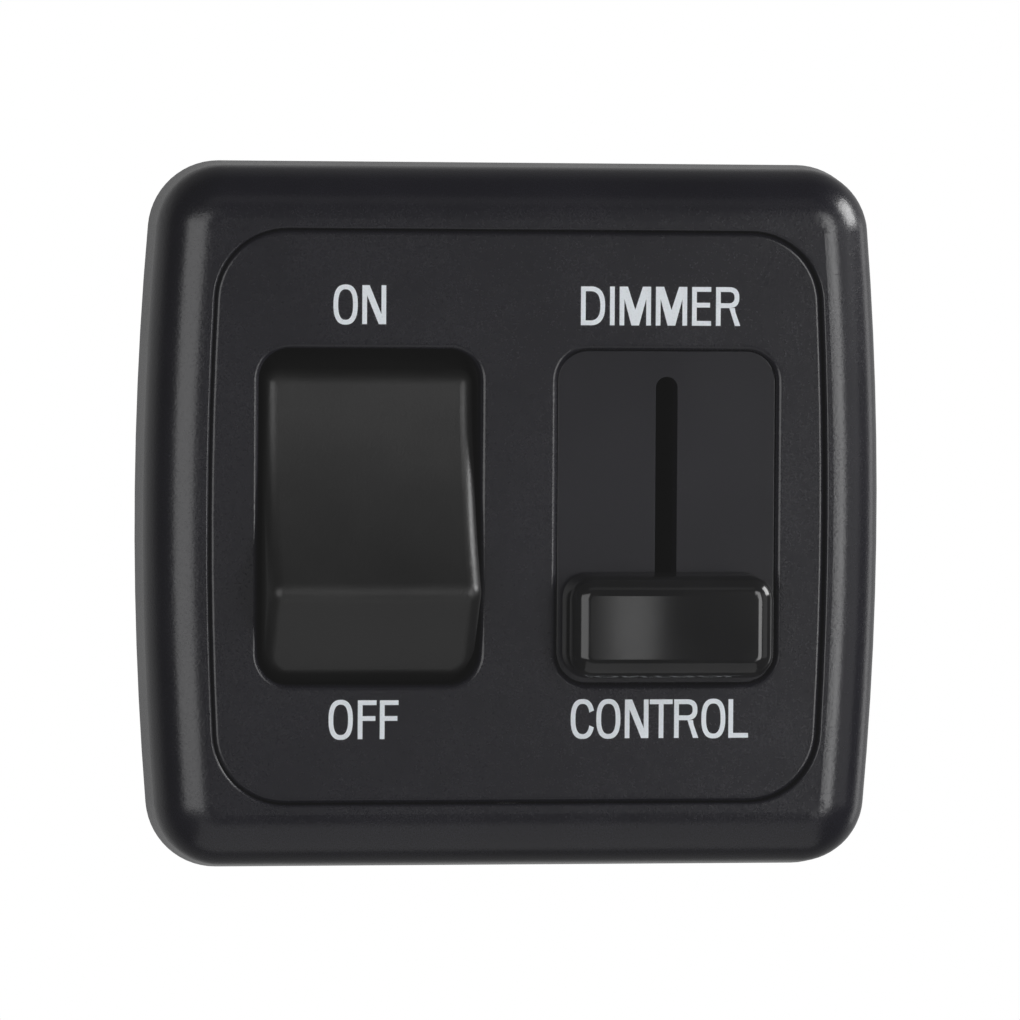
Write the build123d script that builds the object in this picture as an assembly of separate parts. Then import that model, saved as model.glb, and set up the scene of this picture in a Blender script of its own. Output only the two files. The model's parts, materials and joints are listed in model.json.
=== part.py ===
from build123d import *
import os
from math import atan, cos, degrees, radians, sin, sqrt, tan

# Rocker dimmer switch for a wall: an on/off rocker and a sliding dimmer side by side.
# Millimetres. X to the right, Z up, Y into the wall. The wall's surface is y = 0, so the face is at -Y.

# Face frame: pillow-form outer frame that clips over the base plate
frame_width = 70.0
frame_height = 65.8
frame_depth = 8.0
frame_bow = 1.7
frame_corner = 6.6
frame_draft = 1.0
frame_roll = 5.0
frame_wall = 1.6
frame_lip_round = 0.25
frame_flat_side = 0.66
frame_flat_end = 0.9

# Inner panel, the front of the base plate
panel_bow = 0.9
panel_corner = 6.7
panel_drop = 0.5
panel_thickness = 2.2
panel_edge_round = 0.5
parting_gap = 0.08

# The two equal openings in the panel
opening_corner = 2.9
opening_round = 0.5

# Base plate behind the panel
panel_overhang_side = 1.5
panel_overhang_end = 1.0
module_gap = 0.3
module_between = 4.0
module_side_wall = 1.6
skirt_wall = 1.2
skirt_corner = 5.5
flange_thickness = 2.0
flange_gap = 0.5
screw_setback = 0.76
screw_hole_radius = 1.4
boss_radius = 2.4
boss_inset = 6.4
boss_overlap = 0.8
pilot_radius = 0.9
pilot_depth = 4.6

# Clip hooks on the base plate and catch ribs in the frame
hook_spacing = 28.0
hook_length = 8.0
hook_thickness = 1.0
hook_stand_off = 2.6
hook_height = 2.8
hook_lip = 0.8
hook_lip_height = 1.0
rib_height = 1.0
rib_gap = 0.2

# Rocker: a side section about its pivot, turned by half the swing at rest
rocker_swing = 36.0
pivot_depth = 7.7
paddle_side_gap = 0.45
paddle_swing_gap = 0.3
paddle_corner = 2.4
facet_run = 5.38
facet_height = 2.6
crest_height = 10.5
crest_round = 1.6
dish_depth = 1.7
skirt_drop = 1.0
paddle_edge_round = 1.4
paddle_wall = 1.6
trunnion_radius = 1.75
trunnion_reach = 1.3
trunnion_clearance = 0.05
shoulder_radius = 2.4
shoulder_clearance = 0.2
cross_rib = 1.2
hub_radius = 3.2
hub_drop = 4.5
hub_bore_radius = 2.0
hub_bore_top = 4.4

# Plunger and its spring, inside the paddle's hub
plunger_clearance = 0.1
plunger_top = 1.2
plunger_body = 2.4
nose_radius = 1.0
nose_centre = 8.0
spring_wire = 0.25
spring_wire_sides = 6
spring_turns = 4
spring_end_gap = 0.05

# Switch box behind the left opening
housing_gap = 0.2
housing_wall_end = 1.4
housing_ledge = 0.97
housing_floor = 1.5
housing_foot = 1.3
housing_foot_radius = 1.2
housing_foot_inset = 1.6

# Seesaw contact and its terminals
bridge_ratio = 0.5
bridge_arm_angle = 10.0
bridge_arm = 7.6
bridge_width = 6.0
bridge_thickness = 0.8
bridge_nose_gap = 0.08
bridge_pin_radius = 0.7
bridge_pin_half = 4.4
bridge_pin_root = 0.5
bridge_pin_clearance = 0.05
contact_reach = 5.5
contact_radius = 1.6
contact_height = 0.9
contact_dome = 0.25
contact_gap = 0.04
terminal_thickness = 0.8
terminal_half = 1.8
cradle_gap = 0.4
cradle_rise = 0.5
leg_width = 2.4
leg_clearance = 0.15
stop_length = 2.0
stop_width = 4.0
stop_gap = 0.1

# Dimmer insert in the right opening
insert_drop = 0.6
insert_gap = 0.05
insert_flange = 1.2
insert_flange_lap = 1.6
insert_edge_round = 0.12
insert_leg = 1.2
insert_leg_length = 16.0
slot_width = 2.05
slot_end_gap = 1.0

# Slider
knob_height = 9.8
knob_side_gap = 0.6
knob_end_gap = 0.6
knob_proud = 4.9
knob_float = 0.3
knob_corner = 2.4
knob_taper = 3.0
knob_crown = 0.35
knob_round = 1.8
knob_wall = 1.5
socket_wall = 1.2
socket_clearance = 0.02
lever_thickness = 1.2
lever_width = 4.0
lever_top_gap = 1.9
carriage_side_gap = 0.6
carriage_length = 9.0
carriage_height = 3.4
carriage_edge = 0.15
lever_seat = 1.6
wiper_sheet = 0.2
wiper_width = 4.0
wiper_gap = 0.08
wiper_setback = 1.0
wiper_seat = 3.0

# Slide potentiometer on the circuit board
case_width = 9.0
case_end_gap = 0.57
case_height = 7.0
case_sheet = 0.6
case_slot_width = 2.0
case_slot_gap = 0.5
carriage_front_gap = 0.2
track_thickness = 1.2
track_clearance = 0.05
track_back_gap = 0.2
pot_pin_radius = 0.4
pot_pin_setback = 2.5
pot_pin_half = 2.0
hole_clearance = 0.1

# Circuit board and what stands on its back
board_thickness = 1.6
board_edge_gap = 0.4
component_room = 8.6
lead_past_board = 0.8
lead_radius = 0.35
lead_sides = 6
lead_hole_radius = 0.7

sink_post_gap = 0.2
sink_resistor_gap = 2.25
heat_sink_length = 15.6
heat_sink_base = 2.0
heat_sink_fin = 1.2
heat_sink_fin_height = 5.6
heat_sink_fin_pitch = 2.6
leg_relief_gap = 0.6
leg_relief_depth = 1.0

transistor_setback = 0.6
transistor_width = 10.0
transistor_body = 8.6
transistor_tab = 6.2
transistor_thickness = 4.4
transistor_tab_thickness = 1.3
transistor_edge = 0.4
transistor_lead_pitch = 2.54
transistor_lead = 0.8
transistor_lead_height = 2.4
transistor_lead_reach = 2.8
transistor_leg_gap = 1.6
tab_hole_radius = 1.8
sink_screw_radius = 1.45
sink_screw_clearance = 0.05
sink_screw_head_radius = 2.6
sink_screw_head = 1.8
sink_screw_edge = 0.6
sink_screw_depth = 1.6

capacitor_radius = 4.0
capacitor_length = 11.5
capacitor_case_gap = 3.65
capacitor_end_gap = 9.1
capacitor_edge = 0.4
capacitor_groove = 0.4
capacitor_groove_setback = 1.6
capacitor_lead_reach = 1.5
capacitor_lead_spread = 3.5
capacitor_lift = 0.05

chip_offset = 3.0
chip_drop = 4.0
chip_length = 5.0
chip_width = 4.0
chip_height = 1.5
chip_lift = 0.15
chip_lead_pitch = 1.27
chip_lead = 0.45
chip_lead_thickness = 0.2
chip_lead_reach = 1.0
chip_leads_per_side = 4

resistor_case_gap = 1.3
resistor_top_gap = 4.5
resistor_low_gap = 1.5
resistor_pitch = 3.2
resistor_length = 4.8
resistor_radius = 1.1
resistor_end_radius = 1.35
resistor_end = 1.4
resistor_end_edge = 0.4
resistor_span = 7.4
resistor_lift = 0.1

tab_count = 3
tab_width = 6.3
tab_thickness = 0.8
tab_reach = 8.0
tab_end_gap = 7.6
tab_side_gap = 2.95
tab_pitch = 10.5
tab_nose = 1.2
tab_eye_radius = 0.9
tab_eye_inset = 3.2
tab_leg_width = 1.2
tab_leg_half = 1.9

# Rear cover
cover_wall = 1.2
cover_back = 1.4
cover_corner = 2.0
cover_back_round = 1.0
cover_rim = 1.6
cover_rim_corner = 4.0
cover_post_radius = 1.7
cover_post_inset = 2.3
cover_slot_gap = 0.4
cover_head_gap = 1.4
vent_count = 5
vent_pitch = 2.8
vent_width = 1.4
vent_length = 11.0
cover_screw_radius = 0.85
cover_screw_clearance = 0.25
cover_screw_head_radius = 2.0
cover_screw_head = 1.4
cover_screw_edge = 0.6
cover_screw_depth = 4.2
recess_width = 0.6
recess_length = 2.2
recess_depth = 0.7

# Widths worked out inwards from the frame
draft_angle = degrees(atan(frame_draft / frame_depth))
roll_start = frame_draft * (frame_depth - frame_roll) / frame_depth
roll_reach = roll_start + frame_roll / cos(radians(draft_angle))
mouth_width = frame_width - 2 * (roll_reach + frame_flat_side)
mouth_height = frame_height - 2 * (roll_reach + frame_flat_end)
panel_width = mouth_width - 2 * parting_gap
panel_height = mouth_height - 2 * parting_gap
skirt_width = panel_width - 2 * panel_overhang_side
skirt_height = panel_height - 2 * panel_overhang_end
module_width = (skirt_width - 2 * (skirt_wall + module_gap) - module_between) / 2
opening_width = module_width - 2 * module_side_wall
rocker_x = -(module_width + module_between) / 2
slider_x = (module_width + module_between) / 2
paddle_width = opening_width - 2 * paddle_side_gap
knob_width = opening_width - 2 * knob_side_gap
cavity_half = frame_width / 2 - frame_wall
cover_inner_width = skirt_width - 2 * cover_wall
carriage_width = case_width - 2 * (case_sheet + carriage_side_gap)

# Heights worked out inwards from the frame
screw_spacing = mouth_height + 2 * (screw_setback + screw_hole_radius)
boss_x = skirt_width / 2 - boss_inset
boss_z = skirt_height / 2 - skirt_wall - boss_radius + boss_overlap
cover_height = 2 * (boss_z - cover_screw_head_radius - cover_head_gap)
cover_inner_height = cover_height - 2 * cover_wall
board_height = cover_inner_height - 2 * board_edge_gap
housing_height = cover_inner_height - 2 * housing_gap
housing_inner_height = housing_height - 2 * housing_wall_end
opening_height = housing_inner_height - 2 * housing_ledge
paddle_end = sqrt((housing_inner_height / 2 - paddle_swing_gap) ** 2 - facet_height**2)
crest_half = paddle_end - facet_run
slide_travel = opening_height - knob_height - 2 * knob_end_gap
slider_z = -slide_travel / 2
slot_length = slide_travel + lever_width + 2 * slot_end_gap
insert_flange_height = opening_height + 2 * insert_flange_lap
case_length = cover_inner_height - 2 * case_end_gap
case_slot_length = slide_travel + lever_width + 2 * case_slot_gap
pot_pin_row = case_length / 2 - pot_pin_setback

# Depths worked out backwards from the frame's front
frame_front = -frame_depth
panel_front = frame_front + panel_drop
panel_back = panel_front + panel_thickness
insert_front = panel_front + insert_drop
insert_back = panel_back + insert_flange
knob_back = insert_front - knob_float
knob_front = panel_front - knob_proud
pivot_y = panel_front + pivot_depth
bridge_apex = pivot_y + nose_centre + (nose_radius + bridge_nose_gap) / cos(radians(bridge_arm_angle))
bridge_y = bridge_apex + bridge_thickness / 2
bridge_tilt = bridge_ratio * rocker_swing / 2


# Underside of a level bridge's arm, measured from the pivot
def arm_underside(along):
    return bridge_thickness / 2 - along * tan(radians(bridge_arm_angle))


# Depth of a point of the bridge when its arm is down, from its place along the arm and under its pivot
def lowered(along, under):
    tilt = radians(bridge_tilt)
    return bridge_y + under * cos(tilt) + along * sin(tilt)


# Dome tip of the moving contact when closed, as depth and height
def closed_tip():
    slope = radians(bridge_arm_angle)
    tilt = radians(bridge_tilt)
    under = arm_underside(contact_reach) + contact_height * cos(slope)
    along = contact_reach + contact_height * sin(slope)
    return lowered(along, under), under * sin(tilt) - along * cos(tilt)


contact_depth, contact_z = closed_tip()
contact_seat = contact_depth + contact_gap + contact_height
floor_front = contact_seat + terminal_thickness
housing_back = floor_front + housing_floor
board_front = housing_back + housing_foot
board_back = board_front + board_thickness
cover_depth = board_back + component_room + cover_back
case_front = board_front - case_height
track_back = board_front - track_back_gap
track_front = track_back - track_thickness
carriage_front = case_front + case_sheet + carriage_front_gap
carriage_back = carriage_front + carriage_height
lead_end = board_front - lead_past_board

# Places on the circuit board
cover_post_x = cover_inner_width / 2 - cover_post_inset
cover_post_z = cover_inner_height / 2 - cover_post_inset
case_left = slider_x - case_width / 2
capacitor_lead_x = case_left - capacitor_case_gap
capacitor_x = capacitor_lead_x + capacitor_lead_reach + capacitor_length / 2
capacitor_z = cover_inner_height / 2 - capacitor_end_gap
chip_x = slider_x + chip_offset
chip_z = -chip_drop
resistor_x = case_left - resistor_case_gap - resistor_span / 2
resistor_top = cover_inner_height / 2 - resistor_top_gap
resistor_low = resistor_low_gap - cover_inner_height / 2
resistor_rows = (resistor_top, resistor_low + resistor_pitch, resistor_low)
sink_left = sink_post_gap + cover_post_radius - cover_post_x
sink_right = resistor_x - resistor_span / 2 - lead_radius - sink_resistor_gap
heat_sink_width = sink_right - sink_left
heat_sink_x = (sink_left + sink_right) / 2
fin_room = (heat_sink_width - transistor_width) / 2 - heat_sink_fin
fins_per_side = int(fin_room / heat_sink_fin_pitch) + 1
transistor_lead_z = transistor_leg_gap - contact_reach
transistor_foot = transistor_lead_z + transistor_lead_reach
tab_hole_z = transistor_foot + transistor_body + transistor_tab / 2
heat_sink_z = transistor_foot - transistor_setback + heat_sink_length / 2
sink_face = board_back + heat_sink_base
tab_row_z = tab_end_gap - cover_inner_height / 2
tab_start = tab_side_gap + tab_width / 2 - cover_inner_width / 2
tab_columns = [tab_start + step * tab_pitch for step in range(tab_count)]


# Prism of an outline drawn in X and Z, between two depths
def slab(outline, back, front):
    return extrude(Plane.XZ.offset(-back) * outline, amount=back - front)


# Prism of a side section drawn in Y and Z, between two places along X
def bar(section, left, right):
    return extrude(Plane.YZ.offset(left) * section, amount=right - left)


def disc(x, z, radius, back, front):
    return slab(Pos(x, z) * Circle(radius), back, front)


def block(x, z, width, height, back, front):
    return slab(Pos(x, z) * Rectangle(width, height), back, front)


# Outline with straight top and bottom, sides that bow outwards and round corners
def bowed_outline(width, height, bow, corner):
    side = width / 2 - bow
    top = height / 2
    edges = [
        Line((-side, top), (side, top)),
        ThreePointArc((side, top), (width / 2, 0), (side, -top)),
        Line((side, -top), (-side, -top)),
        ThreePointArc((-side, -top), (-width / 2, 0), (-side, top)),
    ]
    face = make_face(edges)
    return fillet(face.vertices(), corner)


# Body on the foot outline, its sides drafted and its crown edge rolled over
def frame_form(inset, crown, roll):
    foot = bowed_outline(frame_width - 2 * inset, frame_height - 2 * inset, frame_bow, frame_corner - inset)
    form = extrude(Plane.XZ * foot, amount=crown)
    sides = form.faces() - form.faces().filter_by(Axis.Y)
    form = draft(sides, Plane.XZ, draft_angle)
    return fillet(form.faces().sort_by(Axis.Y)[0].edges(), roll)


def hook_places():
    return [(side, z) for side in (-1, 1) for z in (-hook_spacing / 2, hook_spacing / 2)]


def face_frame():
    outer = frame_form(0, frame_depth, frame_roll)
    cavity = frame_form(frame_wall, frame_depth - frame_wall, frame_roll - frame_wall)
    rib_back = -flange_thickness - rib_gap
    rib_start = cavity_half - hook_stand_off + rib_gap
    for side, z in hook_places():
        rib_middle = side * (rib_start + frame_wall + hook_stand_off / 2)
        rib_width = hook_stand_off + 2 * frame_wall
        cavity -= block(rib_middle, z, rib_width, hook_length, rib_back, rib_back - rib_height)
    mouth = bowed_outline(mouth_width, mouth_height, panel_bow, panel_corner + parting_gap)
    frame = outer - cavity - slab(mouth, frame_wall, frame_front - frame_wall)
    front = frame.faces().filter_by(Axis.Y).sort_by(Axis.Y)[0]
    return fillet(front.inner_wires()[0].edges(), frame_lip_round)


def opening_outline(shrink):
    return RectangleRounded(
        opening_width - 2 * shrink, opening_height - 2 * shrink, opening_corner - shrink
    )


def base_plate():
    panel = slab(bowed_outline(panel_width, panel_height, panel_bow, panel_corner), panel_back, panel_front)
    for x in (rocker_x, slider_x):
        panel -= slab(Pos(x, 0) * opening_outline(0), panel_back, panel_front)
    front = panel.faces().sort_by(Axis.Y)[0]
    rims = [edge for wire in front.inner_wires() for edge in wire.edges()]
    panel = fillet(rims, opening_round)
    front = panel.faces().filter_by(Axis.Y).sort_by(Axis.Y)[0]
    panel = fillet(front.outer_wire().edges(), panel_edge_round)
    inside = RectangleRounded(
        skirt_width - 2 * skirt_wall, skirt_height - 2 * skirt_wall, skirt_corner - skirt_wall
    )
    skirt = slab(RectangleRounded(skirt_width, skirt_height, skirt_corner), 0, panel_back)
    inset = frame_wall + flange_gap
    edge = bowed_outline(frame_width - 2 * inset, frame_height - 2 * inset, frame_bow, frame_corner - inset)
    flange = slab(edge, 0, -flange_thickness)
    plate = panel + (skirt + flange - slab(inside, 0, panel_back))
    for x in (-boss_x, boss_x):
        for z in (-boss_z, boss_z):
            plate += disc(x, z, boss_radius, 0, panel_back)
            plate -= disc(x, z, pilot_radius, 0, -pilot_depth)
    for z in (-screw_spacing / 2, screw_spacing / 2):
        plate -= disc(0, z, screw_hole_radius, 0, -flange_thickness)
    for side, z in hook_places():
        plate += clip_hook(side, z)
    return plate


# Upright on the flange with an outward lip whose lead-in slopes
def clip_hook(side, z):
    outer = cavity_half - hook_stand_off
    foot = -flange_thickness
    top = foot - hook_height
    section = Polyline(
        (side * (outer - hook_thickness), foot),
        (side * outer, foot),
        (side * outer, top + hook_lip_height),
        (side * (outer + hook_lip), top + hook_lip_height),
        (side * outer, top),
        (side * (outer - hook_thickness), top),
        close=True,
    )
    return extrude(Plane.XY.offset(z - hook_length / 2) * make_face(section), amount=hook_length)


# Paddle about its pivot: a side section with a dished top, crests and end facets, trimmed to its plan
def paddle_form(inset, bottom):
    end = paddle_end - inset
    half = crest_half - inset / 2
    height = crest_height - inset
    slope = (height - facet_height) / (end - half)
    past = end + paddle_corner
    low = facet_height - paddle_corner * slope
    section = make_face([
        ThreePointArc((-height, half), (dish_depth - height, 0), (-height, -half)),
        Polyline((-height, -half), (-low, -past), (bottom, -past)),
        Line((bottom, -past), (bottom, past)),
        Polyline((bottom, past), (-low, past), (-height, half)),
    ])
    section = fillet(section.vertices().sort_by(Axis.X)[:2], crest_round)
    plan = RectangleRounded(paddle_width - 2 * inset, 2 * end, paddle_corner - inset)
    return bar(section, -paddle_width / 2, paddle_width / 2) & slab(plan, bottom, -height)


# Edges between the paddle's top and its upright walls
def paddle_rim(body):
    rim = []
    for edge in body.edges():
        middle = edge.position_at(0.5)
        across_top = abs(middle.X) < 0.01 and abs(middle.Z) < paddle_end - 0.01
        upright = abs(edge.tangent_at(0.5).Y) > 0.99
        at_bottom = middle.Y > skirt_drop - 0.01
        if not (across_top or upright or at_bottom):
            rim.append(edge)
    return rim


def in_rocker(piece):
    return Pos(rocker_x, pivot_y, 0) * Rot(X=-rocker_swing / 2) * piece


def rocker_paddle():
    half = paddle_width / 2
    body = paddle_form(0, skirt_drop)
    body = fillet(paddle_rim(body), paddle_edge_round)
    body -= paddle_form(paddle_wall, skirt_drop + paddle_wall)
    under_dish = dish_depth + paddle_wall / 2 - crest_height
    body += block(0, 0, paddle_width - paddle_wall, cross_rib, skirt_drop, under_dish)
    body += Rot(X=90) * hub_blank()
    shoulder_half = opening_width / 2 - shoulder_clearance
    for side in (-1, 1):
        inner = side * (half - paddle_wall)
        middle = side * shoulder_half
        outer = side * (shoulder_half + trunnion_reach)
        body += bar(Circle(shoulder_radius), min(inner, middle), max(inner, middle))
        body += bar(Circle(trunnion_radius), min(middle, outer), max(middle, outer))
    body -= disc(0, 0, hub_bore_radius, hub_drop, -hub_bore_top)
    return in_rocker(body)


# Hub that hangs under the dished top, axis along the plunger
def hub_blank():
    length = hub_drop + crest_height - dish_depth - paddle_wall / 2
    return Pos(0, 0, length / 2 - hub_drop) * Cylinder(hub_radius, length)


def plunger():
    body_radius = hub_bore_radius - plunger_clearance
    body = disc(0, 0, body_radius, plunger_top + plunger_body, plunger_top)
    body += disc(0, 0, nose_radius, nose_centre, plunger_top + plunger_body)
    body += Pos(0, nose_centre, 0) * Sphere(nose_radius)
    return in_rocker(body)


def plunger_spring():
    coil_radius = hub_bore_radius - plunger_clearance - spring_wire
    low = plunger_top - spring_wire - spring_end_gap
    high = -hub_bore_top + spring_wire + spring_end_gap
    rise = low - high
    path = Helix(rise / spring_turns, rise, coil_radius)
    wire = Plane(path @ 0, z_dir=path % 0) * RegularPolygon(spring_wire, spring_wire_sides)
    coil = sweep(wire, path=path)
    return in_rocker(Pos(0, low, 0) * Rot(X=90) * coil)


def rocker_housing():
    left = rocker_x - module_width / 2
    right = rocker_x + module_width / 2
    box = block(rocker_x, 0, module_width, housing_height, housing_back, panel_back)
    box = fillet(box.edges().filter_by(Axis.Y), housing_wall_end)
    box -= block(rocker_x, 0, opening_width, housing_inner_height, floor_front, panel_back)
    box -= bar(Pos(pivot_y, 0) * Circle(trunnion_radius + trunnion_clearance), left, right)
    for z in (0, -contact_reach):
        box -= block(
            rocker_x,
            z,
            leg_width + 2 * leg_clearance,
            terminal_thickness + 2 * leg_clearance,
            housing_back,
            floor_front,
        )
    box += block(rocker_x, contact_reach, stop_width, stop_length, floor_front, stop_front())
    foot_x = module_width / 2 - housing_foot_inset
    foot_z = housing_height / 2 - housing_foot_inset
    for x in (rocker_x - foot_x, rocker_x + foot_x):
        for z in (-foot_z, foot_z):
            box += disc(x, z, housing_foot_radius, board_front, housing_back)
    return box


def stop_front():
    return lowered(contact_reach - stop_length / 2, arm_underside(contact_reach - stop_length / 2)) + stop_gap


def in_bridge(piece):
    return Pos(rocker_x, bridge_y, 0) * Rot(X=bridge_tilt) * piece


def contact_bridge():
    slope = tan(radians(bridge_arm_angle))
    upper = -bridge_thickness / 2
    lower = bridge_thickness / 2
    section = Polyline(
        (upper, 0),
        (upper - bridge_arm * slope, bridge_arm),
        (lower - bridge_arm * slope, bridge_arm),
        (lower, 0),
        (lower - bridge_arm * slope, -bridge_arm),
        (upper - bridge_arm * slope, -bridge_arm),
        close=True,
    )
    strip = bar(make_face(section), -bridge_width / 2, bridge_width / 2)
    for side in (-1, 1):
        root = side * (bridge_width / 2 - bridge_pin_root)
        tip = side * bridge_pin_half
        strip += bar(Circle(bridge_pin_radius), min(root, tip), max(root, tip))
    return in_bridge(strip)


# Rivet head with a low dome, its base at the origin and its dome towards +Y
def contact_button():
    dome_radius = (contact_radius**2 + contact_dome**2) / (2 * contact_dome)
    head = disc(0, 0, contact_radius, contact_height, 0)
    return head & Pos(0, contact_height - dome_radius, 0) * Sphere(dome_radius)


def moving_contact():
    seat = Pos(0, arm_underside(contact_reach), -contact_reach) * Rot(X=-bridge_arm_angle)
    return in_bridge(seat * contact_button())


def fixed_contact():
    seat = Pos(rocker_x, contact_seat, contact_z) * Rot(X=180)
    return seat * contact_button()


def load_terminal():
    strip = block(rocker_x, contact_z, bridge_width, 2 * terminal_half, floor_front, contact_seat)
    return strip + block(rocker_x, -contact_reach, leg_width, terminal_thickness, board_back, floor_front)


def common_terminal():
    width = 2 * (bridge_pin_half - cradle_gap)
    base_front = floor_front - terminal_thickness
    base = block(rocker_x, 0, width, 2 * terminal_half, floor_front, base_front)
    leg = block(rocker_x, 0, leg_width, terminal_thickness, board_back, floor_front)
    top = bridge_y - cradle_rise
    cheeks = []
    for side in (-1, 1):
        x = rocker_x + side * (width - terminal_thickness) / 2
        cheeks.append(block(x, 0, terminal_thickness, 2 * terminal_half, base_front, top))
    notch_radius = bridge_pin_radius + bridge_pin_clearance
    notch = bar(Pos(bridge_y, 0) * Circle(notch_radius), rocker_x - width, rocker_x + width)
    notch += block(rocker_x, 0, 2 * width, 2 * notch_radius, bridge_y, top - cradle_rise)
    return base + leg + cheeks - notch


def dimmer_insert():
    face = slab(Pos(slider_x, 0) * opening_outline(insert_gap), panel_back, insert_front)
    face = fillet(face.faces().sort_by(Axis.Y)[0].edges(), insert_edge_round)
    plate = face + block(slider_x, 0, module_width, insert_flange_height, insert_back, panel_back)
    for side in (-1, 1):
        x = slider_x + side * (module_width - insert_leg) / 2
        plate += block(x, 0, insert_leg, insert_leg_length, board_front, insert_back)
    slot = Pos(slider_x, 0) * Rot(Z=90) * SlotOverall(slot_length, slot_width)
    return plate - slab(slot, insert_back, insert_front)


def slider_knob():
    outline = Plane.XZ.offset(-knob_back) * RectangleRounded(knob_width, knob_height, knob_corner)
    body = extrude(outline, amount=knob_back - knob_front, taper=knob_taper)
    half = knob_width / 2
    crown = make_face([
        ThreePointArc((-half, knob_front + knob_crown), (0, knob_front), (half, knob_front + knob_crown)),
        Line((half, knob_front + knob_crown), (half, knob_back)),
        Line((half, knob_back), (-half, knob_back)),
        Line((-half, knob_back), (-half, knob_front + knob_crown)),
    ])
    body &= extrude(Plane.XY.offset(-knob_height) * crown, amount=2 * knob_height)
    body = fillet(body.faces().sort_by(Axis.Y)[0].edges(), knob_round)
    hollow_front = knob_front + knob_crown + knob_wall
    body -= slab(
        RectangleRounded(
            knob_width - 2 * knob_wall - knob_round,
            knob_height - 2 * knob_wall - knob_round / 2,
            knob_corner / 2,
        ),
        knob_back,
        hollow_front,
    )
    socket_width = lever_thickness + 2 * socket_wall
    body += block(0, 0, socket_width, knob_height - 2 * knob_wall, knob_back, hollow_front)
    body -= block(
        0,
        0,
        lever_thickness + 2 * socket_clearance,
        lever_width + 2 * socket_clearance,
        knob_back,
        knob_front + lever_top_gap,
    )
    return Pos(slider_x, 0, slider_z) * body


def slider_lever():
    foot = carriage_front + lever_seat
    return block(slider_x, slider_z, lever_thickness, lever_width, foot, knob_front + lever_top_gap)


def wiper_carriage():
    body = block(slider_x, slider_z, carriage_width, carriage_length, carriage_back, carriage_front)
    body = chamfer(body.edges().filter_by(Axis.X), carriage_edge)
    return body - block(
        slider_x, slider_z, lever_thickness, lever_width, carriage_front + lever_seat, carriage_front
    )


# Leaf under the carriage: a flat seat and an arm that bends down to the track
def wiper_contact():
    low = track_front - wiper_gap
    start = slider_z - wiper_seat
    bend = slider_z
    tip = slider_z + carriage_length / 2 - wiper_setback
    section = Polyline(
        (carriage_back, start),
        (carriage_back, bend),
        (low - wiper_sheet, tip),
        (low, tip),
        (carriage_back + wiper_sheet, bend),
        (carriage_back + wiper_sheet, start),
        close=True,
    )
    return bar(make_face(section), slider_x - wiper_width / 2, slider_x + wiper_width / 2)


def slide_pot_case():
    shell = block(slider_x, 0, case_width, case_length, board_front, case_front)
    shell = fillet(shell.edges().filter_by(Axis.Z), case_sheet)
    inside_width = case_width - 2 * case_sheet
    inside_length = case_length - 2 * case_sheet
    shell -= block(slider_x, 0, inside_width, inside_length, board_front, case_front + case_sheet)
    slot = Pos(slider_x, 0) * Rot(Z=90) * SlotOverall(case_slot_length, case_slot_width)
    return shell - slab(slot, case_front + case_sheet, case_front)


def track_board():
    width = case_width - 2 * (case_sheet + track_clearance)
    length = case_length - 2 * (case_sheet + track_clearance)
    return block(slider_x, 0, width, length, track_back, track_front)


def pot_pin_places():
    return [
        (slider_x, -pot_pin_row),
        (slider_x - pot_pin_half, pot_pin_row),
        (slider_x + pot_pin_half, pot_pin_row),
    ]


def pot_pins():
    pins = [disc(x, z, pot_pin_radius, board_back, track_back) for x, z in pot_pin_places()]
    return Compound([pin.solid() for pin in pins])


def lead_places():
    places = []
    for step in (-1, 0, 1):
        places.append((heat_sink_x + step * transistor_lead_pitch, transistor_lead_z))
    for side in (-1, 1):
        places.append((capacitor_lead_x, capacitor_z + side * capacitor_lead_spread / 2))
    for z in resistor_rows:
        for side in (-1, 1):
            places.append((resistor_x + side * resistor_span / 2, z))
    return places


def circuit_board():
    width = cover_inner_width - 2 * board_edge_gap
    board = block(0, 0, width, board_height, board_back, board_front)
    for x, z in pot_pin_places():
        board -= disc(x, z, pot_pin_radius + hole_clearance, board_back, board_front)
    for x, z in lead_places():
        board -= disc(x, z, lead_hole_radius, board_back, board_front)
    for z in (0, -contact_reach):
        board -= block(
            rocker_x,
            z,
            leg_width + 2 * leg_clearance,
            terminal_thickness + 2 * leg_clearance,
            board_back,
            board_front,
        )
    for x in tab_columns:
        for side in (-1, 1):
            board -= block(
                x + side * tab_leg_half,
                tab_row_z,
                tab_leg_width + 2 * hole_clearance,
                tab_thickness + 2 * hole_clearance,
                board_back,
                board_front,
            )
    return board


# Finned plate on the board, relieved over the end of the common terminal's leg
def heat_sink():
    sink = block(heat_sink_x, heat_sink_z, heat_sink_width, heat_sink_length, sink_face, board_back)
    for side in (-1, 1):
        for step in range(fins_per_side):
            x = heat_sink_x + side * (heat_sink_width / 2 - heat_sink_fin / 2 - step * heat_sink_fin_pitch)
            top = sink_face + heat_sink_fin_height
            sink += block(x, heat_sink_z, heat_sink_fin, heat_sink_length, top, sink_face)
    hole = sink_screw_radius + sink_screw_clearance
    sink -= disc(heat_sink_x, tab_hole_z, hole, sink_face, board_back)
    relief_width = leg_width + 2 * leg_relief_gap
    relief_height = terminal_thickness + 2 * leg_relief_gap
    return sink - block(rocker_x, 0, relief_width, relief_height, board_back + leg_relief_depth, board_back)


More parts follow.
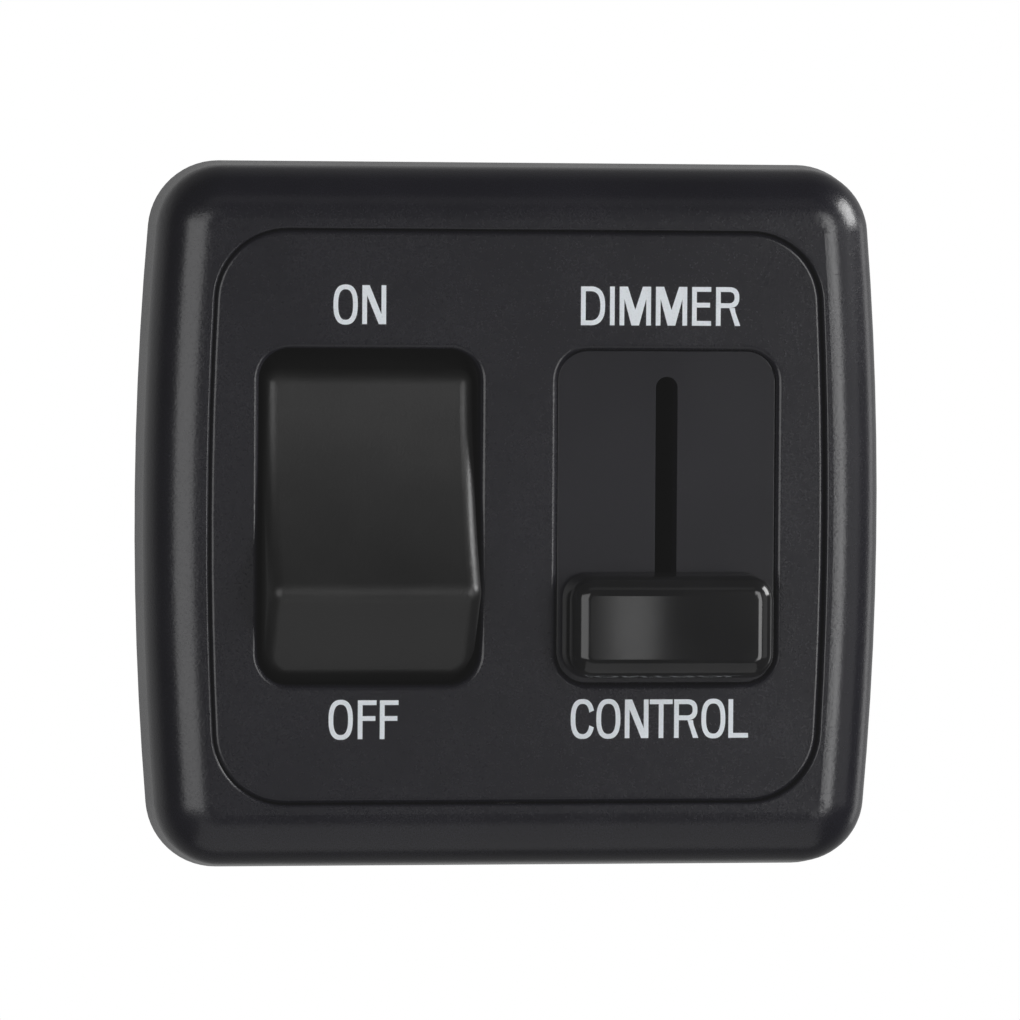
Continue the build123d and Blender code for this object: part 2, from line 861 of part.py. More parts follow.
def power_transistor():
    face = sink_face
    foot = transistor_foot
    middle = foot + transistor_body / 2
    body = block(heat_sink_x, middle, transistor_width, transistor_body, face + transistor_thickness, face)
    body = chamfer(body.faces().sort_by(Axis.Y)[-1].edges(), transistor_edge)
    tab_foot = foot + transistor_body / 2
    tab_end = foot + transistor_body + transistor_tab
    tab = block(
        heat_sink_x,
        (tab_foot + tab_end) / 2,
        transistor_width,
        tab_end - tab_foot,
        face + transistor_tab_thickness,
        face,
    )
    tab -= disc(heat_sink_x, tab_hole_z, tab_hole_radius, face + transistor_tab_thickness, face)
    device = body + tab
    high = face + transistor_lead_height
    for step in (-1, 0, 1):
        x = heat_sink_x + step * transistor_lead_pitch
        end = transistor_lead_z - transistor_lead / 2
        device += block(x, (foot + end) / 2, transistor_lead, foot - end, high + transistor_lead / 2,
                        high - transistor_lead / 2)
        device += block(x, transistor_lead_z, transistor_lead, transistor_lead, high, lead_end)
    return device


def transistor_screw():
    seat = sink_face + transistor_tab_thickness
    z = tab_hole_z
    head = disc(heat_sink_x, z, sink_screw_head_radius, seat + sink_screw_head, seat)
    head = chamfer(head.faces().sort_by(Axis.Y)[-1].edges(), sink_screw_edge)
    head -= cross_recess(heat_sink_x, z, seat + sink_screw_head)
    return head + disc(heat_sink_x, z, sink_screw_radius, seat, sink_face - sink_screw_depth)


def cross_recess(x, z, face):
    floor = face - recess_depth
    arms = block(x, z, recess_length, recess_width, face, floor)
    return arms + block(x, z, recess_width, recess_length, face, floor)


# Component lead with mitred bends
def bent_wire(*points):
    path = Polyline(*points)
    wire = Plane(path @ 0, z_dir=path % 0) * RegularPolygon(lead_radius, lead_sides)
    return sweep(wire, path=path, transition=Transition.RIGHT)


def filter_capacitor():
    centre = board_back + capacitor_lift + capacitor_radius
    can = Pos(capacitor_x, centre, capacitor_z) * Rot(Y=90) * Cylinder(capacitor_radius, capacitor_length)
    can = chamfer(can.edges(), capacitor_edge)
    start = capacitor_x - capacitor_length / 2
    ring_x = start + capacitor_groove_setback
    ring = Cylinder(capacitor_radius, 2 * capacitor_groove)
    ring -= Cylinder(capacitor_radius - capacitor_groove, 2 * capacitor_groove)
    can -= Pos(ring_x, centre, capacitor_z) * Rot(Y=90) * ring
    bend_x = capacitor_lead_x
    for side in (-1, 1):
        z = capacitor_z + side * capacitor_lead_spread / 2
        can += bent_wire((start + capacitor_groove, centre, z), (bend_x, centre, z), (bend_x, lead_end, z))
    return can


def control_chip():
    bottom = board_back + chip_lift
    body = block(chip_x, chip_z, chip_length, chip_width, bottom + chip_height, bottom)
    body = chamfer(body.faces().sort_by(Axis.Y)[-1].edges(), chip_lead_thickness)
    middle = bottom + chip_height / 2
    for side in (-1, 1):
        edge = chip_z + side * chip_width / 2
        bend = edge + side * chip_lead_reach / 2
        for step in range(chip_leads_per_side):
            x = chip_x + (step - (chip_leads_per_side - 1) / 2) * chip_lead_pitch
            top = middle + chip_lead_thickness
            body += block(x, (edge + bend) / 2, chip_lead, abs(bend - edge), top, middle)
            body += block(x, bend, chip_lead, chip_lead_thickness, top, board_back)
            foot = bend + side * chip_lead_reach / 4
            sole = board_back + chip_lead_thickness
            body += block(x, foot, chip_lead, chip_lead_reach / 2, sole, board_back)
    return body


def resistor(z):
    centre = board_back + resistor_lift + resistor_end_radius
    body = Cylinder(resistor_radius, resistor_length)
    for side in (-1, 1):
        end = side * (resistor_length - resistor_end) / 2
        cap = chamfer(Cylinder(resistor_end_radius, resistor_end).edges(), resistor_end_edge)
        body += Pos(0, 0, end) * cap
    body = Pos(resistor_x, centre, z) * Rot(Y=90) * body
    left = resistor_x - resistor_span / 2
    right = resistor_x + resistor_span / 2
    return body + bent_wire((left, lead_end, z), (left, centre, z), (right, centre, z), (right, lead_end, z))


def resistors():
    return Compound([resistor(z).solid() for z in resistor_rows])


# Push-on tab: pointed nose, eye, and two legs through the board
def terminal_tab(x):
    end = cover_depth + tab_reach
    half = tab_width / 2
    outline = Polyline(
        (x - half, board_back),
        (x - half, end - tab_nose),
        (x - half + tab_nose, end),
        (x + half - tab_nose, end),
        (x + half, end - tab_nose),
        (x + half, board_back),
        close=True,
    )
    blade = make_face(outline) - Pos(x, end - tab_eye_inset) * Circle(tab_eye_radius)
    tab = extrude(Plane.XY.offset(tab_row_z - tab_thickness / 2) * blade, amount=tab_thickness)
    for side in (-1, 1):
        tab += block(x + side * tab_leg_half, tab_row_z, tab_leg_width, tab_thickness, board_back, lead_end)
    return tab


def terminal_tabs():
    return Compound([terminal_tab(x).solid() for x in tab_columns])


def rear_cover():
    shell = slab(RectangleRounded(skirt_width, cover_height, cover_corner), cover_depth, 0)
    shell = fillet(shell.faces().sort_by(Axis.Y)[-1].edges(), cover_back_round)
    shell += slab(RectangleRounded(skirt_width, skirt_height, cover_rim_corner), cover_rim, 0)
    shell -= slab(
        RectangleRounded(cover_inner_width, cover_inner_height, cover_corner - cover_wall),
        cover_depth - cover_back,
        0,
    )
    for x in (-cover_post_x, cover_post_x):
        for z in (-cover_post_z, cover_post_z):
            shell += disc(x, z, cover_post_radius, cover_depth - cover_back, board_back)
    for x in (-boss_x, boss_x):
        for z in (-boss_z, boss_z):
            shell -= disc(x, z, cover_screw_radius + cover_screw_clearance, cover_rim, 0)
    for x in tab_columns:
        shell -= block(
            x,
            tab_row_z,
            tab_width + 2 * cover_slot_gap,
            tab_thickness + 2 * cover_slot_gap,
            cover_depth,
            cover_depth - cover_back,
        )
    vent = Rot(Z=90) * SlotOverall(vent_length, vent_width)
    for step in range(vent_count):
        x = heat_sink_x + (step - (vent_count - 1) / 2) * vent_pitch
        shell -= slab(Pos(x, heat_sink_z) * vent, cover_depth, cover_depth - cover_back)
    return shell


def cover_screw(x, z):
    top = cover_rim + cover_screw_head
    head = disc(x, z, cover_screw_head_radius, top, cover_rim)
    head = chamfer(head.faces().sort_by(Axis.Y)[-1].edges(), cover_screw_edge)
    head -= cross_recess(x, z, top)
    return head + disc(x, z, cover_screw_radius, cover_rim, -cover_screw_depth)


def cover_screws():
    screws = []
    for x in (-boss_x, boss_x):
        for z in (-boss_z, boss_z):
            screws.append(cover_screw(x, z).solid())
    return Compound(screws)


pieces = [
    face_frame,
    base_plate,
    rocker_paddle,
    rocker_housing,
    plunger,
    plunger_spring,
    contact_bridge,
    moving_contact,
    fixed_contact,
    common_terminal,
    load_terminal,
    dimmer_insert,
    slider_knob,
    slider_lever,
    wiper_carriage,
    wiper_contact,
    slide_pot_case,
    track_board,
    pot_pins,
    circuit_board,
    heat_sink,
    power_transistor,
    transistor_screw,
    filter_capacitor,
    control_chip,
    resistors,
    terminal_tabs,
    rear_cover,
    cover_screws,
]

os.makedirs("parts", exist_ok=True)
for make in pieces:
    export_step(make(), f"parts/{make.__name__}.step")
    print("wrote", make.__name__)
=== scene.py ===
import json
import math
import bpy
import numpy as np
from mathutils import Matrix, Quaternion, Vector


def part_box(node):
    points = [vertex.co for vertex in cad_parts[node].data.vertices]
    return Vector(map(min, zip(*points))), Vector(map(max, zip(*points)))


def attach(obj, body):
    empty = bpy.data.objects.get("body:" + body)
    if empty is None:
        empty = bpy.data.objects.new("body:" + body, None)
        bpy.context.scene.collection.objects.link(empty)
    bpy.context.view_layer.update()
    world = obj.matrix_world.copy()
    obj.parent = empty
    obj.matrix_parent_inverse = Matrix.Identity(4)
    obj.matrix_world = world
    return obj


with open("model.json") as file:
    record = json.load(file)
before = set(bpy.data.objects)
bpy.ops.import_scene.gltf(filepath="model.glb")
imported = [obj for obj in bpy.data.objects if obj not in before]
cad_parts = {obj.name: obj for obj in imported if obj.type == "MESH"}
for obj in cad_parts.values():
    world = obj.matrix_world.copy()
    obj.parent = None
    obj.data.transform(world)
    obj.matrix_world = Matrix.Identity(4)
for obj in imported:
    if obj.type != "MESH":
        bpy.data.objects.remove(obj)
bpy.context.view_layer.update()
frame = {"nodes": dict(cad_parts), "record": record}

nodes = frame["nodes"]
mm = 0.001
print("frame loaded:", len(nodes), "nodes")


# shader sockets as values: sums on them add Math nodes
class Wire:
    def __init__(self, finish, socket):
        self.finish = finish
        self.socket = socket

    def join(self, operation, first, second):
        return self.finish.node("ShaderNodeMath", {"operation": operation}, {0: first, 1: second})

    def __add__(self, other):
        return self.join("ADD", self, other)

    __radd__ = __add__

    def __sub__(self, other):
        return self.join("SUBTRACT", self, other)

    def __rsub__(self, other):
        return self.join("SUBTRACT", other, self)

    def __mul__(self, other):
        return self.join("MULTIPLY", self, other)

    def __gt__(self, other):
        return self.join("GREATER_THAN", self, other)

    def __lt__(self, other):
        return self.join("LESS_THAN", self, other)

    # smooth step from 0 at low to 1 at high
    def rise(self, low, high):
        return self.finish.node(
            "ShaderNodeMapRange",
            {"interpolation_type": "SMOOTHSTEP"},
            {"Value": self, "From Min": low, "From Max": high},
        )


# one material (or the world): makes its nodes and keeps its shader
class Finish:
    def __init__(self, owner, shaderName):
        owner.use_nodes = True
        self.owner = owner
        self.tree = owner.node_tree
        self.shader = self.tree.nodes[shaderName]

    def feed(self, socket, value):
        if isinstance(value, Wire):
            self.tree.links.new(value.socket, socket)
        else:
            socket.default_value = value

    def node(self, kind, settings=None, inputs=None, output=0):
        made = self.tree.nodes.new(kind)
        for key, value in (settings or {}).items():
            setattr(made, key, value)
        for key, value in (inputs or {}).items():
            self.feed(made.inputs[key], value)
        return Wire(self, made.outputs[output])

    def set(self, **values):
        for key, value in values.items():
            self.feed(self.shader.inputs[key.replace("_", " ")], value)

    def place(self):
        return self.node("ShaderNodeTexCoord", output="Object")

    def placeAcross(self):
        return self.node("ShaderNodeSeparateXYZ", {}, {0: self.place()}, output="X")

    # cloudy value about 0.5; size is the grain's width in metres
    def noise(self, size, detail=2.0, stretch=None):
        spot = self.place()
        if stretch:
            spot = self.node("ShaderNodeMapping", {}, {"Vector": spot, "Scale": stretch})
        inputs = {"Vector": spot, "Scale": 1 / size, "Detail": detail}
        return self.node("ShaderNodeTexNoise", {}, inputs)

    def blend(self, share, first, second):
        settings = {"data_type": "RGBA"}
        return self.node("ShaderNodeMix", settings, {0: share, 6: first, 7: second}, output=2)

    # height is in metres
    def relief(self, height):
        return self.node("ShaderNodeBump", {}, {"Height": height, "Distance": 1.0, "Strength": 1.0})


def newFinish(name):
    return Finish(bpy.data.materials.new(name), "Principled BSDF")


def tint(red, green, blue):
    return (red, green, blue, 1.0)


cloudBand = (0.3, 0.7)                 # noise values between which a colour turns from dark to light
coarseGrain = {"size": 3.1, "share": 0.6}    # times the fine grain's size and height


# moulded plastic: fine spark-eroded grain, faint cloudiness in colour and gloss
def mouldedPlastic(name, look):
    finish = newFinish(name)
    clouds = finish.noise(look["cloudSize"], 3.0)
    fine = finish.noise(look["grainSize"], 2.0)
    coarse = finish.noise(look["grainSize"] * coarseGrain["size"], 1.0)
    gloss = (clouds - 0.5) * look["glossDrift"] + (fine - 0.5) * look["glossGrain"]
    finish.set(
        Base_Color=finish.blend(clouds.rise(*cloudBand), look["dark"], look["light"]),
        Roughness=look["roughness"] + gloss,
        Normal=finish.relief((fine + coarse * coarseGrain["share"]) * look["grainDepth"]),
        IOR=look["ior"],
    )
    return finish


framePlastic = {
    "dark": tint(0.0053, 0.0049, 0.0088), "light": tint(0.0073, 0.0068, 0.0115),
    "roughness": 0.255, "glossDrift": 0.08, "glossGrain": 0.16,
    "cloudSize": 9 * mm, "grainSize": 0.24 * mm, "grainDepth": 0.011 * mm, "ior": 1.5,
}
rockerPlastic = {
    "dark": tint(0.0075, 0.0075, 0.0074), "light": tint(0.0098, 0.0098, 0.0096),
    "roughness": 0.4, "glossDrift": 0.08, "glossGrain": 0.2,
    "cloudSize": 7 * mm, "grainSize": 0.22 * mm, "grainDepth": 0.02 * mm, "ior": 1.5,
}
insertPlastic = {
    "dark": tint(0.0052, 0.0048, 0.0085), "light": tint(0.0066, 0.0061, 0.0102),
    "roughness": 0.25, "glossDrift": 0.06, "glossGrain": 0.06,
    "cloudSize": 11 * mm, "grainSize": 0.3 * mm, "grainDepth": 0.0012 * mm, "ior": 1.5,
}
knobPlastic = {
    "dark": tint(0.007, 0.007, 0.0075), "light": tint(0.009, 0.009, 0.0095),
    "roughness": 0.12, "glossDrift": 0.04, "glossGrain": 0.02,
    "cloudSize": 5 * mm, "grainSize": 0.5 * mm, "grainDepth": 0.0006 * mm, "ior": 1.45,
}
housingPlastic = {
    "dark": tint(0.014, 0.014, 0.0145), "light": tint(0.02, 0.02, 0.0205),
    "roughness": 0.46, "glossDrift": 0.1, "glossGrain": 0.14,
    "cloudSize": 8 * mm, "grainSize": 0.3 * mm, "grainDepth": 0.01 * mm, "ior": 1.5,
}
palePlastic = {
    "dark": tint(0.62, 0.59, 0.5), "light": tint(0.7, 0.67, 0.58),
    "roughness": 0.4, "glossDrift": 0.1, "glossGrain": 0.05,
    "cloudSize": 3 * mm, "grainSize": 0.3 * mm, "grainDepth": 0.002 * mm, "ior": 1.5,
}
resinBlack = {
    "dark": tint(0.012, 0.012, 0.012), "light": tint(0.022, 0.022, 0.021),
    "roughness": 0.55, "glossDrift": 0.08, "glossGrain": 0.2,
    "cloudSize": 3 * mm, "grainSize": 0.15 * mm, "grainDepth": 0.008 * mm, "ior": 1.5,
}


# rolled or plated metal: faint lines along one axis and a slow change of tone
def sheetMetal(name, look):
    finish = newFinish(name)
    clouds = finish.noise(look["cloudSize"], 3.0)
    lines = finish.noise(look["lineSize"], 2.0, look["stretch"])
    finish.set(
        Base_Color=finish.blend(clouds.rise(*cloudBand), look["dark"], look["light"]),
        Metallic=1.0,
        Roughness=look["roughness"] + (clouds - 0.5) * look["glossDrift"] + (lines - 0.5) * look["lineGloss"],
        Normal=finish.relief(lines * look["lineDepth"]),
    )
    return finish


zincSteel = {
    "dark": tint(0.5, 0.51, 0.53), "light": tint(0.66, 0.66, 0.66),
    "roughness": 0.3, "glossDrift": 0.12, "cloudSize": 2.5 * mm,
    "lineSize": 0.2 * mm, "stretch": (1, 1, 1), "lineGloss": 0.2, "lineDepth": 0.002 * mm,
}
# near-black steel of the pot case under the dimmer's slot: its dark colour is painted shade, so the slot
# reads dark
slotShadeSteel = {
    "dark": tint(0.012, 0.012, 0.013), "light": tint(0.02, 0.02, 0.021),
    "roughness": 0.55, "glossDrift": 0.12, "cloudSize": 3 * mm,
    "lineSize": 0.2 * mm, "stretch": (1, 1, 0.1), "lineGloss": 0.15, "lineDepth": 0.002 * mm,
}
stampedBrass = {
    "dark": tint(0.62, 0.42, 0.16), "light": tint(0.78, 0.57, 0.26),
    "roughness": 0.28, "glossDrift": 0.12, "cloudSize": 3 * mm,
    "lineSize": 0.12 * mm, "stretch": (1, 0.06, 1), "lineGloss": 0.25, "lineDepth": 0.002 * mm,
}
contactSilver = {
    "dark": tint(0.74, 0.73, 0.7), "light": tint(0.9, 0.89, 0.87),
    "roughness": 0.22, "glossDrift": 0.12, "cloudSize": 0.8 * mm,
    "lineSize": 0.1 * mm, "stretch": (1, 1, 1), "lineGloss": 0.2, "lineDepth": 0.001 * mm,
}
sinkAluminium = {
    "dark": tint(0.62, 0.63, 0.64), "light": tint(0.78, 0.79, 0.8),
    "roughness": 0.36, "glossDrift": 0.12, "cloudSize": 5 * mm,
    "lineSize": 0.15 * mm, "stretch": (1, 1, 0.04), "lineGloss": 0.25, "lineDepth": 0.004 * mm,
}
canAluminium = {
    "dark": tint(0.56, 0.57, 0.59), "light": tint(0.68, 0.69, 0.71),
    "roughness": 0.3, "glossDrift": 0.12, "cloudSize": 4 * mm,
    "lineSize": 0.12 * mm, "stretch": (0.05, 1, 1), "lineGloss": 0.2, "lineDepth": 0.002 * mm,
}

boardLook = {
    "lacquer": tint(0.01, 0.085, 0.035), "track": tint(0.02, 0.14, 0.06), "roughness": 0.28,
    "trackPitch": 2.6 * mm, "trackWander": 2.2 * mm, "wanderSize": 6 * mm, "trackHeight": 0.03 * mm,
    "trackEdge": (-0.25, 0.05), "speckle": 1.5 * mm, "speckleGloss": 0.12,
}


# lacquered circuit board: broad tracks show as a lighter green under the lacquer
def boardGreen(name, look):
    finish = newFinish(name)
    wander = (finish.noise(look["wanderSize"], 0.0) - 0.5) * look["trackWander"]
    turn = (finish.placeAcross() + wander) * (2 * math.pi / look["trackPitch"])
    wave = finish.node("ShaderNodeMath", {"operation": "SINE"}, {0: turn})
    track = wave.rise(*look["trackEdge"])
    finish.set(
        Base_Color=finish.blend(track, look["lacquer"], look["track"]),
        Roughness=look["roughness"] + finish.noise(look["speckle"]) * look["speckleGloss"],
        Normal=finish.relief(track * look["trackHeight"]),
    )
    return finish


trackLook = {
    "paper": tint(0.16, 0.075, 0.028), "carbon": tint(0.02, 0.02, 0.02), "roughness": 0.5,
    "stripStart": (0.3 * mm, 0.4 * mm), "stripEnd": (2.2 * mm, 2.3 * mm),
    "flecks": 0.4 * mm, "fleckGloss": 0.3, "fleckDepth": 0.004 * mm,
}


# paper laminate with a carbon strip down its length
def trackBrown(name, look):
    finish = newFinish(name)
    low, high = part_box("track_board")
    middle = (low.x + high.x) / 2
    across = finish.placeAcross() - middle
    strip = across.rise(*look["stripStart"]) * (1 - across.rise(*look["stripEnd"]))
    flecks = finish.noise(look["flecks"], 3.0)
    finish.set(
        Base_Color=finish.blend(strip, look["paper"], look["carbon"]),
        Roughness=look["roughness"] + (flecks - 0.5) * look["fleckGloss"],
        Normal=finish.relief(flecks * look["fleckDepth"]),
    )
    return finish


resistorLook = {
    "lacquer": tint(0.56, 0.4, 0.22), "tinned": tint(0.7, 0.69, 0.67), "roughness": 0.35,
    "bandWidth": 0.5 * mm, "leadStart": 2.6 * mm, "speckle": 0.3 * mm, "speckleGloss": 0.1,
    "bands": ((-1.7 * mm, tint(0.03, 0.015, 0.01)), (-0.6 * mm, tint(0.02, 0.02, 0.02)),
              (0.5 * mm, tint(0.4, 0.09, 0.02)), (1.7 * mm, tint(0.5, 0.3, 0.07))),
}


# lacquered resistor with plain colour bands, and tinned leads past its ends
def resistorBody(name, look):
    finish = newFinish(name)
    low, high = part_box("resistors")
    along = finish.placeAcross() - (low.x + high.x) / 2
    colour = look["lacquer"]
    for place, paint in look["bands"]:
        inBand = (along > place - look["bandWidth"] / 2) * (along < place + look["bandWidth"] / 2)
        colour = finish.blend(inBand, colour, paint)
    apart = finish.node("ShaderNodeMath", {"operation": "ABSOLUTE"}, {0: along})
    lead = apart > look["leadStart"]
    finish.set(
        Base_Color=finish.blend(lead, colour, look["tinned"]),
        Metallic=lead,
        Roughness=look["roughness"] + finish.noise(look["speckle"]) * look["speckleGloss"],
    )
    return finish


inkLook = {
    "thin": tint(0.68, 0.72, 0.76), "full": tint(0.8, 0.84, 0.88), "roughness": 0.5,
    "speckle": 0.16 * mm, "thinBand": (0.25, 0.5), "speckleGloss": 0.2, "speckleDepth": 0.002 * mm,
}


# pad-printed ink, a little thin in places
def printedInk(name, look):
    finish = newFinish(name)
    speckle = finish.noise(look["speckle"], 2.0)
    finish.set(
        Base_Color=finish.blend(speckle.rise(*look["thinBand"]), look["thin"], look["full"]),
        Roughness=look["roughness"] + (speckle - 0.5) * look["speckleGloss"],
        Normal=finish.relief(speckle * look["speckleDepth"]),
    )
    return finish


finishes = {
    "frame_plastic": mouldedPlastic("frame_satin_black", framePlastic),
    "rocker_plastic": mouldedPlastic("rocker_matte_black", rockerPlastic),
    "insert_plastic": mouldedPlastic("insert_smooth_black", insertPlastic),
    "knob_plastic": mouldedPlastic("knob_polished_black", knobPlastic),
    "housing_plastic": mouldedPlastic("housing_black", housingPlastic),
    "pale_plastic": mouldedPlastic("pale_plastic", palePlastic),
    "component_black": mouldedPlastic("component_resin", resinBlack),
    "steel": sheetMetal("zinc_steel", zincSteel),
    "black_steel": sheetMetal("black_steel", slotShadeSteel),
    "brass": sheetMetal("stamped_brass", stampedBrass),
    "contact_silver": sheetMetal("contact_silver", contactSilver),
    "sink_aluminium": sheetMetal("sink_aluminium", sinkAluminium),
    "can_aluminium": sheetMetal("can_aluminium", canAluminium),
    "board_green": boardGreen("board_green", boardLook),
    "track_brown": trackBrown("track_brown", trackLook),
    "resistor_body": resistorBody("resistor_body", resistorLook),
}
for part in frame["record"]["subparts"]:
    for materialSlot in nodes[part["node"]].material_slots:
        materialSlot.material = finishes[part["material_slot"]].owner


# legends: letters of even strokes in units of their height, printed on the panel
legendLook = {
    "height": 3.6 * mm, "stroke": 0.124, "gap": 0.127, "inkThickness": 0.02 * mm, "inkSink": 0.01 * mm,
    "squareness": 2.5, "steps": 40, "halfRound": 0.515,    # round letters stand a little past the lines
    "widths": {
        "C": 0.595, "D": 0.63, "E": 0.5, "F": 0.485, "L": 0.52,
        "M": 0.82, "N": 0.62, "O": 0.63, "R": 0.64, "T": 0.6,
    },
    "kern": {"NT": 0.03, "TR": 0.04, "RO": 0.075, "OL": 0.08, "FF": 0.085, "CO": 0.075, "ON": 0.115},
}
legendPlaces = {                       # middle of each word and its foot, on the panel
    "ON": (-14.95 * mm, 17.8 * mm),
    "OFF": (-14.4 * mm, -20.55 * mm),
    "DIMMER": (13.2 * mm, 17.8 * mm),
    "CONTROL": (13.35 * mm, -20.55 * mm),
}


# superellipse arc about a centre: x = a cos^(2/n), y = b sin^(2/n), signs kept
def roundArc(centre, across, up, start, stop):
    turn = np.radians(np.linspace(start, stop, legendLook["steps"]))
    power = 2 / legendLook["squareness"]
    x = np.sign(np.cos(turn)) * np.abs(np.cos(turn)) ** power
    y = np.sign(np.sin(turn)) * np.abs(np.sin(turn)) ** power
    return np.stack([centre[0] + across * x, centre[1] + up * y], axis=1)


def straightBand(left, foot, right, top):
    return np.array([[left, top], [right, top]]), np.array([[left, foot], [right, foot]]), False


def bentBand(upper, lower):
    return np.array(upper), np.array(lower), False


# bowl on a stem: half a superellipse between two heights, with a straight run from the stem
def bowl(start, right, foot, top, turnAt):
    thick = legendLook["stroke"]
    middle = (foot + top) / 2
    outer = roundArc((turnAt, middle), right - turnAt, (top - foot) / 2, 90, -90)
    inner = roundArc((turnAt, middle), right - thick - turnAt, (top - foot) / 2 - thick, 90, -90)
    outer = np.concatenate([[[start, top]], outer, [[start, foot]]])
    inner = np.concatenate([[[start, top - thick]], inner, [[start, foot + thick]]])
    return outer, inner, False


def ring(width, start, stop, closed):
    thick = legendLook["stroke"]
    up = legendLook["halfRound"]
    outer = roundArc((width / 2, 0.5), width / 2, up, start, stop)
    inner = roundArc((width / 2, 0.5), width / 2 - thick, up - thick, start, stop)
    if closed:
        return outer[:-1], inner[:-1], True
    return outer, inner, False


# each letter: its width and its bands, given as upper and lower edges
def letterBands(letter):
    thick = legendLook["stroke"]
    stem = straightBand(0, 0, thick, 1)
    if letter == "I":
        return thick, [stem]
    width = legendLook["widths"][letter]
    half = width / 2
    farStem = straightBand(width - thick, 0, width, 1)
    if letter == "O":
        return width, [ring(width, 0, 360, True)]
    if letter == "C":                  # its ring is cut open before its right side
        return width, [ring(0.62, 20, 340, False)]
    if letter == "L":
        return width, [stem, straightBand(thick, 0, width, thick)]
    if letter == "T":
        top = straightBand(0, 1 - thick, width, 1)
        return width, [top, straightBand(half - thick / 2, 0, half + thick / 2, 1 - thick)]
    if letter in "EF":
        bands = [stem, straightBand(thick, 1 - thick, width, 1)]
        bands.append(straightBand(thick, 0.47, width - 0.03, 0.47 + thick))
        if letter == "E":
            bands.append(straightBand(thick, 0, width, thick))
        return width, bands
    if letter == "D":
        return width, [stem, bowl(thick, width, 0, 1, 0.24)]
    if letter == "R":
        leg = bentBand([[0.495, 0.46], [0.515, 0.34], [width, 0]], [[0.35, 0.46], [0.39, 0.34], [0.5, 0]])
        return width, [stem, bowl(thick, 0.61, 0.46, 1, 0.33), leg]
    if letter == "N":
        bar = bentBand(
            [[thick, 1], [0.19, 1], [width - thick, 0.26]],
            [[thick, 0.74], [width - 0.19, 0], [width - thick, 0]],
        )
        return width, [stem, farStem, bar]
    fall = bentBand([[thick, 1], [0.215, 1], [half, 0.4]], [[thick, 0.69], [half - 0.1, 0], [half, 0]])    # M
    climb = bentBand(
        [[half, 0.4], [width - 0.215, 1], [width - thick, 1]],
        [[half, 0], [half + 0.1, 0], [width - thick, 0.69]],
    )
    return width, [stem, farStem, fall, climb]


# band as a closed prism: grid of n stations by four corners (upper/lower edge, back/front)
def bandPrism(upper, lower, closed, back, front):
    count = len(upper)
    corners = np.stack([upper, upper, lower, lower], axis=1)
    depth = np.broadcast_to(np.array([back, front, front, back]), (count, 4))
    points = np.stack([corners[..., 0], depth, corners[..., 1]], axis=2).reshape(-1, 3)
    station = np.arange(count if closed else count - 1)[:, None]
    side = np.arange(4)[None, :]
    here = station * 4
    there = (station + 1) % count * 4
    nextSide = (side + 1) % 4
    quads = np.stack([here + side, here + nextSide, there + nextSide, there + side], axis=2).reshape(-1, 4)
    if not closed:
        last = (count - 1) * 4
        quads = np.concatenate([quads, [[3, 2, 1, 0], [last, last + 1, last + 2, last + 3]]])
    return points, quads


def meshPiece(name, points, faces, finish):
    mesh = bpy.data.meshes.new(name)
    mesh.from_pydata(points.tolist(), [], faces.tolist())
    mesh.materials.append(finish.owner)
    mesh.update()
    piece = bpy.data.objects.new(name, mesh)
    bpy.context.scene.collection.objects.link(piece)
    return piece


def legend(word, middle, foot, finish):
    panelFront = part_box("base_plate")[0].y
    back = panelFront + legendLook["inkSink"]
    front = panelFront - legendLook["inkThickness"]
    pen = 0.0
    allPoints, allFaces = [], []
    total = 0
    for index, letter in enumerate(word):
        width, bands = letterBands(letter)
        for upper, lower, closed in bands:
            shift = np.array([pen, 0.0])
            points, quads = bandPrism(upper + shift, lower + shift, closed, back, front)
            allPoints.append(points)
            allFaces.append(quads + total)
            total += len(points)
        pair = word[index:index + 2]
        pen += width + (legendLook["kern"].get(pair, legendLook["gap"]) if len(pair) == 2 else 0)
    points = np.concatenate(allPoints)
    points[:, 0] = middle + (points[:, 0] - pen / 2) * legendLook["height"]
    points[:, 2] = foot + points[:, 2] * legendLook["height"]
    piece = meshPiece("legend_" + word.lower(), points, np.concatenate(allFaces), finish)
    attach(piece, "base")


ink = printedInk("legend_ink", inkLook)
for word, (middle, foot) in legendPlaces.items():
    legend(word, middle, foot, ink)
print("legends:", len(legendPlaces))


# floor: a pale disc well under the plate, x = r cos t, y = r sin t; the plate does not mirror it
floorLook = {
    "radius": 4.0, "drop": 0.65, "segments": 96, "pale": tint(0.4, 0.4, 0.4), "shade": tint(0.36, 0.36, 0.36),
    "cloudSize": 0.08, "roughness": 0.7, "light": tint(1, 1, 1), "glow": 0.8,
}


def floorDisc(look):
    turn = np.linspace(0, 2 * np.pi, look["segments"], endpoint=False)
    edge = np.stack([np.cos(turn), np.sin(turn)], axis=1) * look["radius"]
    points = np.concatenate([edge, np.zeros((1, 2))])
    points = np.concatenate([points, np.full((len(points), 1), -look["drop"])], axis=1)
    start = np.arange(len(edge))
    faces = np.stack([start, (start + 1) % len(edge), np.full(len(edge), len(edge))], axis=1)
    finish = newFinish("floor_pale")
    finish.set(
        Base_Color=finish.blend(finish.noise(look["cloudSize"]), look["shade"], look["pale"]),
        Roughness=look["roughness"],
        Emission_Color=look["light"],
        Emission_Strength=look["glow"],
    )
    floor = meshPiece("studio_floor", points, faces, finish)
    floor.visible_glossy = False
    floor.visible_diffuse = False


floorDisc(floorLook)
print("floor laid")


